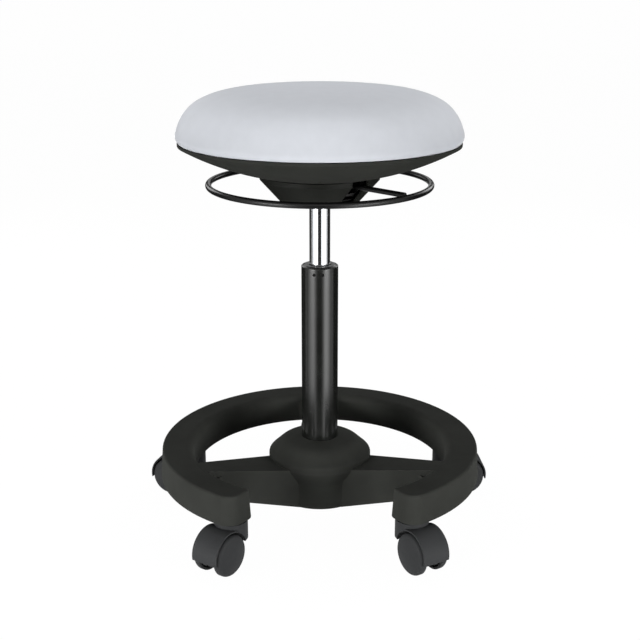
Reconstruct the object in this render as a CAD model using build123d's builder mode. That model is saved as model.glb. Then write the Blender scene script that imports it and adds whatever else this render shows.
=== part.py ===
from build123d import *
import os
from math import cos, hypot, radians, sin, sqrt, tan

# Every size is in millimetres, the floor is z = 0 and the column stands on the z axis
# The open side of the foot ring faces -y

# Sizes of the foot ring
RING_TOP = 105.5
RING_BOTTOM = 66.0
RING_OUT = 223.3
RING_IN = 175.3
RING_DRAFT = 3.9
RING_EDGE = 3.0
RING_SOFT = 11.0
RING_WALL = 3.5
RING_CROWN = 4.5
RING_END = 22.0
RING_END_OUTER = 21.0
RING_END_INNER = 15.0
RIB = 2.6

# Sizes of the spokes
SPOKE_ANGLES = (90.0, 210.0, 330.0)
SPOKE_ROOT = 52.0
SPOKE_TIP = 191.0
SPOKE_HALF_ROOT = 31.1
SPOKE_HALF_TIP = 17.0
SPOKE_DRAFT = 2.0
SPOKE_FLARE = 12.0
SPOKE_ROOT_TOP = 82.6
SPOKE_ROOT_BOTTOM = 27.7
SPOKE_LIFT = 166.0
SPOKE_LIFT_BOTTOM = 61.2
SPOKE_EDGE = 4.0

# Sizes of the hub
HUB_TOP = 114.8
HUB_BOTTOM = 27.3
HUB_RIM = 71.5
HUB_CORE = 62.0
HUB_CORE_TOP = 64.0
HUB_SLEEVE = 31.0

# Sizes of the castors
CASTOR_NAMES = ("right", "rear", "left", "front_left", "front_right")
CASTOR_FIRST = 18.0
CASTOR_STEP = 72.0
CASTOR_TURNS = (-15.0, 0.0, 0.0, 0.0, -5.0)
WHEEL_R = 27.5
WHEEL_FACE = 22.4
WHEEL_DOME = 2.2
WHEEL_ROUND = 5.5
TREAD = 10.5
WHEEL_WALL = 3.4
TRAIL = 24.0
HOOD_R = 31.0
HOOD_RISE = 1.6
HOOD_WALL = 1.7
HOOD_HALF = 20.0
HOOD_WEB = 2.6
HOOD_START = -10.0
HOOD_END = 165.0
HOOD_LIP = 0.7
NECK_R = 22.0
NECK_HEIGHT = 25.7
STEM_FOOT = 13.2
AXLE_R = 3.0
AXLE_HALF = 18.6
STEM_R = 5.5
STEM_FOOT_R = 4.5
STEM_LENGTH = 24.0
STEM_COLLAR_R = 8.0
STEM_COLLAR = 0.9
GRIP_GROOVE = 4.4
GRIP_WALL = 1.0

# Sizes of the gas lift
COLUMN_R = 25.0
COLUMN_WALL = 2.0
COLUMN_FOOT = 24.0
COLUMN_LENGTH = 337.3
COLUMN_TAPER = 76.0
COLUMN_FOOT_R = 23.9
CRIMP_ANGLES = (-108.7, -81.5, 71.3, 98.5)
CRIMP_R = 3.2
CRIMP_DEPTH = 0.9
CRIMP_BELOW = 8.5
TUBE_R = 14.0
TUBE_WALL = 2.0
TUBE_LENGTH = 347.0
TAPER_LEAD = 4.0
TAPER = 42.0
TAPER_TOP_R = 13.1
BUSH_LENGTH = 78.0
ROD_R = 5.0
ROD_REACH = 273.0
PISTON_HEIGHT = 22.0
PIN_R = 4.0
PIN_STAND = 7.0
BALL_R = 2.4
BALL_COUNT = 8
BALL_CIRCLE = 10.6
RACE = 2.2
RACE_R = 15.0

# Sizes of the seat and its mechanism
SEAM_Z = 530.6
PAD_HEIGHT = 68.2
COVER = 1.4
BOARD = 12.0
BOARD_R = 174.0
COVER_TUCK = 150.0
NUT_R = 5.2
SHELL_OVER = 12.0
SHELL_DEPTH = 44.6
SHELL_CLEAR = 5.0
SHELL_LIP = 5.0
SHELL_MID_IN = 43.0
SHELL_MID_RISE = 18.5
SHELL_WALL = 3.0
SHELL_BEND = 6.0
SHELL_SCREW_CIRCLE = 107.0
SHELL_SCREW_R = 2.1
SHELL_SCREW_HEAD = 4.4
CUP_CLEAR = 9.5
CUP_RIM = 6.0
CUP_FLOOR_R = 51.5
CUP_DEPTH = 37.0
CUP_WALL = 2.4
CUP_HOLE = 17.0
CUP_SLOT_NEAR = 5.5
CUP_SLOT_FAR = 20.0
CUP_SCREW_CIRCLE = 38.0
CUP_SCREW_R = 1.7
PAN_FLOOR_R = 51.0
PAN_ROOM = 8.0
PAN_TOP_R = 70.0
PAN_WALL = 2.0
PAN_HOLLOW = 4.0 / 19.0
PAN_FLANGE = 3.0
PAN_FLANGE_R = 99.0
BOLT_CIRCLE = 87.0
BOLT_R = 4.0
SOCKET_R = 19.0
SOCKET_DROP = 5.0
SOCKET_LENGTH = 41.0

# Sizes of the release ring
RELEASE_ANGLE = -45.0
RELEASE_R = 147.0
RELEASE_WIRE = 4.0
RELEASE_DROP = 14.1
PIVOT_U = 40.0
PIVOT_PIN = 3.0
ARM_R = 3.5
ARM_ROOM = 9.0
LUG_OUT = 27.8
YOKE_IN = 22.0
YOKE_WALL = 2.5
YOKE_FRONT = 50.0
YOKE_BACK = 47.0
YOKE_BELOW = 4.4
YOKE_ABOVE = 5.6
YOKE_SPAN = 11.0

# Clearances
RUNNING = 0.05
PRESSED = 0.02
SIDE = 0.4
GAP = 1.0

# Sizes that follow from the ones above
RING_MID = (RING_OUT + RING_IN) / 2
RING_HEIGHT = RING_TOP - RING_BOTTOM
SPOKE_MEET = RING_IN + 3.0
SPOKE_TIP_TOP = RING_TOP - 0.4
AXLE_X = RING_MID + TRAIL
HOOD_IN = HOOD_R - HOOD_WALL
HOOD_Z = WHEEL_R + HOOD_RISE
TREAD_EDGE = WHEEL_FACE - TREAD
STEM_FLOOR = RING_BOTTOM - STEM_COLLAR
NECK_TOP = STEM_FLOOR - SIDE
NECK_BOTTOM = NECK_TOP - NECK_HEIGHT
STEM_BOTTOM = NECK_TOP - STEM_FOOT
STEM_TOP = RING_BOTTOM + STEM_LENGTH
COLUMN_IN = COLUMN_R - COLUMN_WALL
TUBE_IN = TUBE_R - TUBE_WALL
COLUMN_TOP = COLUMN_FOOT + COLUMN_LENGTH
COLUMN_TAPER_TOP = COLUMN_FOOT + COLUMN_TAPER
PLATE_BOTTOM = COLUMN_FOOT + 3.0
PLATE_TOP = PLATE_BOTTOM + 3.0
ROD_TOP = PLATE_BOTTOM + ROD_REACH
PAD_TOP = SEAM_Z + PAD_HEIGHT
BOARD_TOP = SEAM_Z + BOARD
FLANGE_TOP = SEAM_Z - 0.1
FLANGE_BOTTOM = FLANGE_TOP - PAN_FLANGE
SHELL_FLOOR = SEAM_Z - SHELL_DEPTH
SHELL_RIM = BOARD_R + SHELL_OVER
SHELL_MID_R = SHELL_RIM - SHELL_MID_IN
SHELL_OPENING = PAN_TOP_R + SHELL_CLEAR
SHELL_NECK = SHELL_OPENING + SHELL_LIP
CUP_TOP_R = PAN_TOP_R + CUP_CLEAR
CUP_TOP = SHELL_FLOOR - GAP
CUP_BEND = CUP_TOP - CUP_RIM
CUP_FLOOR = CUP_TOP - CUP_DEPTH
PAN_FLOOR = CUP_FLOOR + PAN_ROOM
SOCKET_BOTTOM = PAN_FLOOR - SOCKET_DROP
SOCKET_TOP = SOCKET_BOTTOM + SOCKET_LENGTH
TAPER_BOTTOM = SOCKET_BOTTOM + TAPER_LEAD
TAPER_TOP = TAPER_BOTTOM + TAPER
TUBE_BOTTOM = TAPER_TOP - TUBE_LENGTH
PIN_TOP = TAPER_TOP + PIN_STAND
RELEASE_Z = SHELL_FLOOR - RELEASE_DROP
ARM_Z = RELEASE_Z + RELEASE_WIRE
YOKE_LOW = ARM_Z - YOKE_BELOW
YOKE_HIGH = ARM_Z + YOKE_ABOVE
YOKE_TOP = PIN_TOP + SIDE
CASTOR_ANGLES = [CASTOR_FIRST + CASTOR_STEP * k for k in range(len(CASTOR_NAMES))]

os.makedirs("parts", exist_ok=True)


def save(shape, name):
    shape.label = name
    export_step(shape, f"parts/{name}.step")


def around(shape, angles):
    return [shape.rotate(Axis.Z, angle) for angle in angles]


def polar(radius, angle):
    return (radius * cos(radians(angle)), radius * sin(radians(angle)))


# Foot ring, a C in plan with drafted walls and rounded ends
def end_point(angle, side, out, along):
    e = polar(1, angle)
    t = (-side * e[1], side * e[0])
    return ((RING_MID + out) * e[0] + along * t[0], (RING_MID + out) * e[1] + along * t[1])


FRONT_LEFT = CASTOR_ANGLES[3]
FRONT_RIGHT = CASTOR_ANGLES[4]


def ring_outline(z, inset):
    with BuildSketch(Plane.XY.offset(z)) as plan:
        Circle(RING_OUT - inset)
        Circle(RING_IN + inset, mode=Mode.SUBTRACT)
        with BuildLine():
            Polyline(
                end_point(FRONT_LEFT, 1, -60, RING_END - inset),
                end_point(FRONT_LEFT, 1, 140, RING_END - inset),
                end_point(FRONT_RIGHT, -1, 140, RING_END - inset),
                end_point(FRONT_RIGHT, -1, -60, RING_END - inset),
                close=True,
            )
        make_face(mode=Mode.SUBTRACT)
        corner = plan.vertices().filter_by(lambda v: v.Y < -50)
        fillet(corner.filter_by(lambda v: hypot(v.X, v.Y) > RING_MID), RING_END_OUTER - inset)
        corner = plan.vertices().filter_by(lambda v: v.Y < -50)
        inner = corner.filter_by(lambda v: abs(hypot(v.X, v.Y) - RING_IN - inset) < 0.01)
        fillet(inner, RING_END_INNER - inset)
    return plan.sketch


slope = tan(radians(RING_DRAFT))
soft_z = RING_TOP - RING_SOFT
soft_r = RING_IN + (soft_z - RING_BOTTOM) * slope + RING_SOFT / cos(radians(RING_DRAFT))
soft_mid = radians(135 - RING_DRAFT / 2)
soft_wall = radians(180 - RING_DRAFT)
with BuildPart() as ring:
    loft([ring_outline(RING_BOTTOM, 0), ring_outline(RING_TOP, RING_HEIGHT * slope)], ruled=True)
    fillet(ring.edges().filter_by_position(Axis.Z, RING_TOP - 0.01, RING_TOP + 0.01), RING_EDGE)
    with BuildSketch(Plane.XZ) as soft_edge:
        with BuildLine():
            top = (soft_r, RING_TOP)
            mid = (soft_r + RING_SOFT * cos(soft_mid), soft_z + RING_SOFT * sin(soft_mid))
            low = (soft_r + RING_SOFT * cos(soft_wall), soft_z + RING_SOFT * sin(soft_wall))
            ThreePointArc(top, mid, low)
            Polyline(low, (low[0] - 6, low[1]), (low[0] - 6, RING_TOP + 4), (soft_r, RING_TOP + 4), top)
        make_face()
    revolve(axis=Axis.Z, mode=Mode.SUBTRACT)

# Spoke along +x, a drafted bar with rounded upper edges, deep and wide at the hub
def spoke_section(x, half, low, high):
    draft = (high - low) * tan(radians(SPOKE_DRAFT))
    with BuildSketch(Plane.YZ.offset(x)) as section:
        with BuildLine():
            Polyline((-half - draft, low), (half + draft, low), (half, high), (-half, high), close=True)
        make_face()
        fillet(section.vertices().filter_by(lambda v: v.Z > high - 1), SPOKE_EDGE)
    return section.sketch


def along_spoke(x, root, tip):
    return root + (tip - root) * (x - SPOKE_ROOT) / (SPOKE_MEET - SPOKE_ROOT)


def spoke_half(x):
    return along_spoke(x, SPOKE_HALF_ROOT, SPOKE_HALF_TIP)


def spoke_top(x):
    return along_spoke(x, SPOKE_ROOT_TOP, SPOKE_TIP_TOP)


with BuildPart() as spoke:
    loft(
        [
            spoke_section(SPOKE_ROOT, SPOKE_HALF_ROOT, SPOKE_ROOT_BOTTOM, SPOKE_ROOT_TOP),
            spoke_section(SPOKE_LIFT, spoke_half(SPOKE_LIFT), SPOKE_LIFT_BOTTOM, spoke_top(SPOKE_LIFT)),
            spoke_section(SPOKE_MEET, SPOKE_HALF_TIP, RING_BOTTOM + 0.6, SPOKE_TIP_TOP),
            spoke_section(SPOKE_TIP, SPOKE_HALF_TIP, RING_BOTTOM + 6, SPOKE_TIP_TOP),
        ],
        ruled=True,
    )

# Hub, a shallow dome with a rim that draws in to a narrower core below
with BuildPart() as hub:
    with BuildSketch(Plane.XZ) as hub_profile:
        with BuildLine() as hub_line:
            Polyline(
                (0, HUB_TOP),
                (COLUMN_R + 1, HUB_TOP),
                (52, 110),
                (HUB_RIM, 92),
                (HUB_RIM, 82),
                (HUB_CORE, HUB_CORE_TOP),
                (HUB_CORE - 1.5, HUB_BOTTOM),
                (0, HUB_BOTTOM),
                (0, HUB_TOP),
            )
        make_face()
        fillet(hub_profile.vertices().filter_by(lambda v: abs(v.X - 52) < 0.1), 24)
        fillet(hub_profile.vertices().filter_by(lambda v: abs(v.X - HUB_RIM) < 0.1 and v.Y > 90), 7)
        fillet(hub_profile.vertices().filter_by(lambda v: abs(v.X - HUB_RIM) < 0.1 and v.Y < 83), 5)
        fillet(hub_profile.vertices().filter_by(lambda v: abs(v.X - HUB_CORE) < 0.1), 14)
    revolve(axis=Axis.Z)

# Corner fills that round the joints between a spoke and the ring
with BuildPart() as corner_fill:
    with BuildSketch(Plane.XY.offset(RING_BOTTOM + 1)) as fill_plan:
        with BuildLine():
            inside = SPOKE_HALF_TIP - 0.5
            start = (RING_IN - SPOKE_FLARE - 2.5, SPOKE_HALF_TIP + 2.4)
            stop = (RING_IN - 1.6, SPOKE_HALF_TIP + SPOKE_FLARE + 2.4)
            bow = (start[0] + 0.69 * (stop[0] - start[0]), start[1] + 0.29 * (stop[1] - start[1]))
            ThreePointArc(start, bow, stop)
            Polyline(stop, (RING_IN + 3, stop[1]), (RING_IN + 3, inside), (start[0], inside), start)
        make_face()
    extrude(amount=soft_z - RING_BOTTOM)
    mirror(about=Plane.XZ)

# Pockets under one spoke, which leave its walls, a long rib and cross ribs
pocket_walls = [HUB_RIM + 6, 106, 138, RING_IN - 4]


with BuildPart() as spoke_pockets:
    with BuildSketch(Plane.XY.offset(SPOKE_ROOT_BOTTOM - 6)) as pocket_plan:
        for near, far in zip(pocket_walls[:-1], pocket_walls[1:]):
            x0 = near + RIB / 2
            x1 = far - RIB / 2
            y0 = spoke_half(x0) - RING_WALL
            y1 = spoke_half(x1) - RING_WALL
            with BuildLine():
                Polyline((x0, RIB / 2), (x1, RIB / 2), (x1, y1), (x0, y0), close=True)
            make_face()
            with BuildLine():
                Polyline((x0, -RIB / 2), (x1, -RIB / 2), (x1, -y1), (x0, -y0), close=True)
            make_face()
    extrude(amount=RING_TOP - SPOKE_ROOT_BOTTOM + 12)
    with BuildSketch(Plane.XZ) as pocket_side:
        with BuildLine():
            Polyline(
                (SPOKE_ROOT, SPOKE_ROOT_BOTTOM - 10),
                (SPOKE_ROOT, spoke_top(SPOKE_ROOT) - RING_CROWN),
                (RING_IN, spoke_top(RING_IN) - RING_CROWN),
                (RING_IN, SPOKE_ROOT_BOTTOM - 10),
                close=True,
            )
        make_face()
    extrude(amount=60, both=True, mode=Mode.INTERSECT)

# Channel under the ring, broken by castor sockets and cross ribs
void_height = RING_HEIGHT - RING_CROWN
rib_angles = [angle + 12 for angle in range(-54, 216, 24)]
with BuildPart() as ring_void:
    loft(
        [
            ring_outline(RING_BOTTOM - 0.5, RING_WALL),
            ring_outline(RING_BOTTOM + void_height, RING_WALL + void_height * slope),
        ],
        ruled=True,
    )
    with BuildSketch(Plane.XY.offset(RING_BOTTOM - 1)) as socket_plan:
        with PolarLocations(RING_MID, len(CASTOR_NAMES), start_angle=CASTOR_FIRST):
            Circle(STEM_R + 5)
    extrude(amount=RING_HEIGHT, mode=Mode.SUBTRACT)
    with BuildSketch(Plane.XY.offset(RING_BOTTOM + 3)) as rib_plan:
        for angle in rib_angles + CASTOR_ANGLES:
            with Locations(Location((*polar(RING_MID, angle), 0), (0, 0, angle))):
                Rectangle(RING_OUT - RING_IN + 4, RIB)
    extrude(amount=RING_HEIGHT, mode=Mode.SUBTRACT)

# Hollow round the taper sleeve of the hub, broken by six ribs
with BuildPart() as hub_void:
    with BuildSketch(Plane.XZ) as hub_hollow:
        with BuildLine():
            Polyline(
                (HUB_SLEEVE, HUB_BOTTOM - 1),
                (HUB_SLEEVE, HUB_TOP - 16),
                (48, HUB_TOP - 14),
                (HUB_RIM - 6.5, 87),
                (HUB_RIM - 6.5, 82),
                (HUB_CORE - 5, HUB_CORE_TOP),
                (HUB_CORE - 6, HUB_BOTTOM - 1),
                close=True,
            )
        make_face()
    revolve(axis=Axis.Z)
    with BuildSketch(Plane.XY.offset(HUB_BOTTOM + 4)) as hub_rib_plan:
        with PolarLocations(HUB_RIM / 2 + 10, 6, start_angle=0):
            Rectangle(HUB_RIM, RIB + 1)
    extrude(amount=HUB_TOP, mode=Mode.SUBTRACT)

# The moulded base with its tapered column seat and five castor sockets
with BuildPart() as base_frame:
    add(ring.part)
    for angle in SPOKE_ANGLES:
        add(spoke.part.rotate(Axis.Z, angle))
        add(corner_fill.part.rotate(Axis.Z, angle))
    add(hub.part)
    add(ring_void.part, mode=Mode.SUBTRACT)
    for angle in SPOKE_ANGLES:
        add(spoke_pockets.part.rotate(Axis.Z, angle), mode=Mode.SUBTRACT)
    add(hub_void.part, mode=Mode.SUBTRACT)
    with BuildSketch(Plane.XZ) as seat_bore:
        with BuildLine():
            Polyline(
                (0, COLUMN_FOOT - 1),
                (COLUMN_FOOT_R + PRESSED, COLUMN_FOOT - 1),
                (COLUMN_FOOT_R + PRESSED, COLUMN_FOOT),
                (COLUMN_R + PRESSED, COLUMN_TAPER_TOP),
                (COLUMN_R + 0.3, COLUMN_TAPER_TOP + 6),
                (COLUMN_R + 0.3, HUB_TOP + 1),
                (0, HUB_TOP + 1),
                close=True,
            )
        make_face()
    revolve(axis=Axis.Z, mode=Mode.SUBTRACT)
    with BuildSketch(Plane.XY.offset(RING_BOTTOM - 1)) as stem_bores:
        with PolarLocations(RING_MID, len(CASTOR_NAMES), start_angle=CASTOR_FIRST):
            Circle(STEM_R + PRESSED)
    extrude(amount=STEM_TOP - RING_BOTTOM + 3, mode=Mode.SUBTRACT)
save(base_frame.part, "base_frame")

# Castor stems, each with a collar under the base, a swivel foot and a groove for its grip ring
with BuildPart() as stem:
    with BuildSketch(Plane.XZ) as stem_profile:
        with BuildLine():
            Polyline(
                (RING_MID, STEM_BOTTOM),
                (RING_MID + STEM_FOOT_R, STEM_BOTTOM),
                (RING_MID + STEM_FOOT_R, STEM_FLOOR),
                (RING_MID + STEM_COLLAR_R, STEM_FLOOR),
                (RING_MID + STEM_COLLAR_R, RING_BOTTOM),
                (RING_MID + STEM_R, RING_BOTTOM),
                (RING_MID + STEM_R, STEM_TOP - 9),
                (RING_MID + STEM_R - GRIP_WALL, STEM_TOP - 9),
                (RING_MID + STEM_R - GRIP_WALL, STEM_TOP - 9 + GRIP_GROOVE),
                (RING_MID + STEM_R, STEM_TOP - 9 + GRIP_GROOVE),
                (RING_MID + STEM_R, STEM_TOP - 1.5),
                (RING_MID + STEM_R - 1.5, STEM_TOP),
                (RING_MID, STEM_TOP),
                close=True,
            )
        make_face()
    revolve(axis=Axis((RING_MID, 0, 0), (0, 0, 1)))
with BuildPart() as castor_stems:
    add(around(stem.part, CASTOR_ANGLES))
save(castor_stems.part, "castor_stems")

# Split spring rings that hold the stems in their sockets
with BuildPart() as grip:
    with BuildSketch(Plane.XY.offset(STEM_TOP - 9 + 0.2)) as grip_plan:
        with Locations((RING_MID, 0)):
            Circle(STEM_R)
            Circle(STEM_R - GRIP_WALL + PRESSED, mode=Mode.SUBTRACT)
        with Locations((RING_MID + STEM_R, 0)):
            Rectangle(STEM_R, 2.4, mode=Mode.SUBTRACT)
    extrude(amount=GRIP_GROOVE - 0.4)
with BuildPart() as grip_rings:
    add(around(grip.part, CASTOR_ANGLES))
save(grip_rings.part, "stem_grip_rings")

# Castor body on +x: a hood over the wheels, a web between them and a neck round the stem
with BuildPart() as hood:
    with BuildSketch(Plane.XZ) as hood_side:
        with Locations((AXLE_X, HOOD_Z)):
            Circle(HOOD_R)
        with BuildLine():
            near = polar(4 * HOOD_R, HOOD_START)
            far = polar(4 * HOOD_R, HOOD_END)
            Polyline(
                (AXLE_X, HOOD_Z),
                (AXLE_X + far[0], HOOD_Z + far[1]),
                (AXLE_X + far[0], HOOD_Z - 4 * HOOD_R),
                (AXLE_X + near[0], HOOD_Z - 4 * HOOD_R),
                (AXLE_X + near[0], HOOD_Z + near[1]),
                close=True,
            )
        make_face(mode=Mode.SUBTRACT)
    extrude(amount=HOOD_HALF, both=True)
    rims = hood.edges().filter_by(GeomType.CIRCLE)
    fillet(rims.filter_by(lambda e: abs(e.radius - HOOD_R) < 0.01), HOOD_LIP)
    with BuildSketch(Plane.XY.offset(NECK_BOTTOM)) as neck_plan:
        with Locations((RING_MID, 0)):
            Circle(NECK_R)
    extrude(amount=NECK_TOP - NECK_BOTTOM)
    with BuildSketch(Plane.XZ) as wheel_room:
        with Locations((AXLE_X, HOOD_Z)):
            Circle(HOOD_IN)
    extrude(amount=HOOD_HALF + 8, both=True, mode=Mode.SUBTRACT)
    with BuildSketch(Plane.XZ) as web_side:
        with Locations((AXLE_X, HOOD_Z)):
            Circle(HOOD_IN + 0.5)
        with Locations((AXLE_X, WHEEL_R - HOOD_R - 6)):
            Rectangle(4 * HOOD_R, 2 * HOOD_R, mode=Mode.SUBTRACT)
        with Locations((AXLE_X, WHEEL_R)):
            Circle(AXLE_R + 4.5)
    extrude(amount=HOOD_WEB, both=True)
    with BuildSketch(Plane.XZ) as boss_side:
        with Locations((AXLE_X, WHEEL_R)):
            Circle(AXLE_R + 3.5)
    extrude(amount=HOOD_WEB + 1.4, both=True)
    with BuildSketch(Plane.XZ) as axle_bore:
        with Locations((AXLE_X, WHEEL_R)):
            Circle(AXLE_R + PRESSED)
    extrude(amount=HOOD_HALF, both=True, mode=Mode.SUBTRACT)
    with BuildSketch(Plane.XY.offset(STEM_BOTTOM - 0.5)) as stem_bore:
        with Locations((RING_MID, 0)):
            Circle(STEM_FOOT_R + RUNNING)
    extrude(amount=NECK_TOP, mode=Mode.SUBTRACT)

# Axle pin of a castor
with BuildPart() as axle:
    with BuildSketch(Plane.XZ) as axle_side:
        with Locations((AXLE_X, WHEEL_R)):
            Circle(AXLE_R)
    extrude(amount=AXLE_HALF, both=True)
    chamfer(axle.edges().filter_by(GeomType.CIRCLE), 0.5)

# Wheel on the +y side: tread, domed disc and hub, open towards the castor web
with BuildPart() as wheel:
    with BuildSketch(Plane.XY) as wheel_profile:
        with BuildLine():
            face = WHEEL_R - WHEEL_ROUND
            turn = WHEEL_ROUND * (1 - sqrt(0.5))
            tread = (WHEEL_R, WHEEL_FACE - WHEEL_ROUND)
            crown = (WHEEL_R / 6, WHEEL_FACE + WHEEL_DOME)
            Polyline(
                crown,
                (0, WHEEL_FACE + WHEEL_DOME),
                (0, AXLE_HALF + SIDE),
                (AXLE_R + RUNNING, AXLE_HALF + SIDE),
                (AXLE_R + RUNNING, HOOD_WEB + 1.4 + SIDE),
                (AXLE_R + 3.4, HOOD_WEB + 1.4 + SIDE),
                (AXLE_R + 3.4, WHEEL_FACE - WHEEL_WALL),
                (WHEEL_R - WHEEL_WALL, WHEEL_FACE - WHEEL_WALL - 0.6),
                (WHEEL_R - WHEEL_WALL, TREAD_EDGE),
                (WHEEL_R - 1, TREAD_EDGE),
                (WHEEL_R, TREAD_EDGE + 1),
                tread,
            )
            ThreePointArc(tread, (WHEEL_R - turn, WHEEL_FACE - turn), (face, WHEEL_FACE))
            ThreePointArc((face, WHEEL_FACE), (face / 2, WHEEL_FACE + 0.8 * WHEEL_DOME), crown)
        make_face()
    revolve(axis=Axis.Y)
wheel_a = wheel.part.moved(Location((AXLE_X, 0, WHEEL_R)))
wheel_b = wheel_a.mirror(Plane.XZ)
stem_axis = Axis((RING_MID, 0, 0), (0, 0, 1))
for name, angle, turn in zip(CASTOR_NAMES, CASTOR_ANGLES, CASTOR_TURNS):
    save(hood.part.rotate(stem_axis, turn).rotate(Axis.Z, angle), f"{name}_castor_hood")
    save(axle.part.rotate(stem_axis, turn).rotate(Axis.Z, angle), f"{name}_castor_axle")
    save(wheel_a.rotate(stem_axis, turn).rotate(Axis.Z, angle), f"{name}_castor_wheel_a")
    save(wheel_b.rotate(stem_axis, turn).rotate(Axis.Z, angle), f"{name}_castor_wheel_b")

# Column tube of the gas lift, drawn in to a taper where it sits in the hub
taper_wall = COLUMN_FOOT_R - COLUMN_WALL
with BuildPart() as column:
    with BuildSketch(Plane.XZ) as column_profile:
        with BuildLine():
            Polyline(
                (taper_wall, COLUMN_FOOT),
                (COLUMN_FOOT_R, COLUMN_FOOT),
                (COLUMN_R, COLUMN_TAPER_TOP),
                (COLUMN_R, COLUMN_TOP),
                (COLUMN_IN, COLUMN_TOP),
                (COLUMN_IN, COLUMN_TAPER_TOP),
                close=True,
            )
        make_face()
        fillet(column_profile.vertices().filter_by(lambda v: v.X > COLUMN_R - 0.1 and v.Y > COLUMN_TOP - 1), COLUMN_WALL * 0.8)
    revolve(axis=Axis.Z)
    for angle in CRIMP_ANGLES:
        e = polar(COLUMN_R + CRIMP_R - CRIMP_DEPTH, angle)
        with Locations((e[0], e[1], COLUMN_TOP - CRIMP_BELOW)):
            Sphere(CRIMP_R, mode=Mode.SUBTRACT)
save(column.part, "column_tube")

# Plastic bush that guides the pressure tube in the column, with a bevelled collar on top
with BuildPart() as bush:
    with BuildSketch(Plane.XZ) as bush_profile:
        with BuildLine():
            Polyline(
                (TUBE_R + RUNNING, COLUMN_TOP - BUSH_LENGTH),
                (COLUMN_IN - CRIMP_DEPTH, COLUMN_TOP - BUSH_LENGTH),
                (COLUMN_IN - CRIMP_DEPTH, COLUMN_TOP - 16),
                (COLUMN_IN - CRIMP_DEPTH - 1, COLUMN_TOP - 12),
                (COLUMN_IN - CRIMP_DEPTH - 1, COLUMN_TOP - 4),
                (COLUMN_IN - PRESSED, COLUMN_TOP - 3),
                (COLUMN_IN - PRESSED, COLUMN_TOP - 0.6),
                (COLUMN_IN - 2.4, COLUMN_TOP + 1.2),
                (TUBE_R + 2.2, COLUMN_TOP + 1.2),
                (TUBE_R + RUNNING, COLUMN_TOP - 1.2),
                close=True,
            )
        make_face()
    revolve(axis=Axis.Z)
save(bush.part, "guide_bush")

# Steel disc that closes the foot of the column
plate_rise = (PLATE_BOTTOM - COLUMN_FOOT) / (COLUMN_TAPER_TOP - COLUMN_FOOT)
plate_r = taper_wall + (COLUMN_IN - taper_wall) * plate_rise
with BuildPart() as foot_plate:
    with BuildSketch(Plane.XY.offset(PLATE_BOTTOM)) as plate_plan:
        Circle(plate_r - PRESSED)
        Circle(ROD_R + 0.6, mode=Mode.SUBTRACT)
    extrude(amount=PLATE_TOP - PLATE_BOTTOM)
save(foot_plate.part, "column_foot_plate")

# Thrust bearing: a fixed race, balls with their cage and a turning race
groove = 0.5
low_race_top = PLATE_TOP + RACE
ball_z = low_race_top - groove + BALL_R
high_race_low = ball_z + BALL_R - groove
with BuildPart() as low_race:
    with BuildSketch(Plane.XY.offset(PLATE_TOP)) as low_race_plan:
        Circle(RACE_R)
        Circle(ROD_R + 1.2, mode=Mode.SUBTRACT)
    extrude(amount=RACE)
    with Locations((0, 0, ball_z)):
        Torus(BALL_CIRCLE, BALL_R + PRESSED, mode=Mode.SUBTRACT)
save(low_race.part, "bearing_lower_race")
with BuildPart() as balls:
    with PolarLocations(BALL_CIRCLE, BALL_COUNT):
        with Locations((0, 0, ball_z)):
            Sphere(BALL_R)
save(balls.part, "bearing_balls")
with BuildPart() as cage:
    with BuildSketch(Plane.XY.offset(ball_z - 0.8)) as cage_plan:
        Circle(RACE_R - 0.6)
        Circle(ROD_R + 1.4, mode=Mode.SUBTRACT)
        with PolarLocations(BALL_CIRCLE, BALL_COUNT):
            Circle(BALL_R + 0.1, mode=Mode.SUBTRACT)
    extrude(amount=1.6)
save(cage.part, "bearing_cage")
with BuildPart() as high_race:
    with BuildSketch(Plane.XY.offset(high_race_low)) as high_race_plan:
        Circle(RACE_R)
        Circle(ROD_R + PRESSED, mode=Mode.SUBTRACT)
    extrude(amount=RACE)
    with Locations((0, 0, ball_z)):
        Torus(BALL_CIRCLE, BALL_R + RUNNING, mode=Mode.SUBTRACT)
save(high_race.part, "bearing_upper_race")

# Piston rod, shouldered on the turning race and grooved for its clip
shoulder = high_race_low + RACE
clip_z = PLATE_BOTTOM - SIDE - 1.2
with BuildPart() as rod:
    with BuildSketch(Plane.XZ) as rod_profile:
        with BuildLine():
            Polyline(
                (0, clip_z - 2.2),
                (ROD_R - 0.6, clip_z - 2.2),
                (ROD_R, clip_z - 1.6),
                (ROD_R, clip_z),
                (ROD_R - 1.2, clip_z),
                (ROD_R - 1.2, clip_z + 1.2),
                (ROD_R, clip_z + 1.2),
                (ROD_R, shoulder),
                (ROD_R + 1.5, shoulder),
                (ROD_R + 1.5, shoulder + 3),
                (ROD_R, shoulder + 3),
                (ROD_R, ROD_TOP),
                (0, ROD_TOP),
                close=True,
            )
        make_face()
    revolve(axis=Axis.Z)
save(rod.part, "piston_rod")
with BuildPart() as clip:
    with BuildSketch(Plane.XY.offset(clip_z + 0.05)) as clip_plan:
        Circle(ROD_R + 3)
        Circle(ROD_R - 1.2 + PRESSED, mode=Mode.SUBTRACT)
        with Locations((ROD_R + 1, 0)):
            Rectangle(ROD_R + 4, 2 * ROD_R - 3.4, mode=Mode.SUBTRACT)
    extrude(amount=1.1)
save(clip.part, "retaining_clip")
with BuildPart() as bumper:
    with BuildSketch(Plane.XY.offset(shoulder + 3.1)) as bumper_plan:
        Circle(ROD_R + 6)
        Circle(ROD_R + PRESSED, mode=Mode.SUBTRACT)
    extrude(amount=18)
    round_edges = bumper.edges().filter_by(GeomType.CIRCLE)
    fillet(round_edges.filter_by(lambda e: abs(e.radius - ROD_R - 6) < 0.01), 2)
save(bumper.part, "rubber_bumper")
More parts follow.
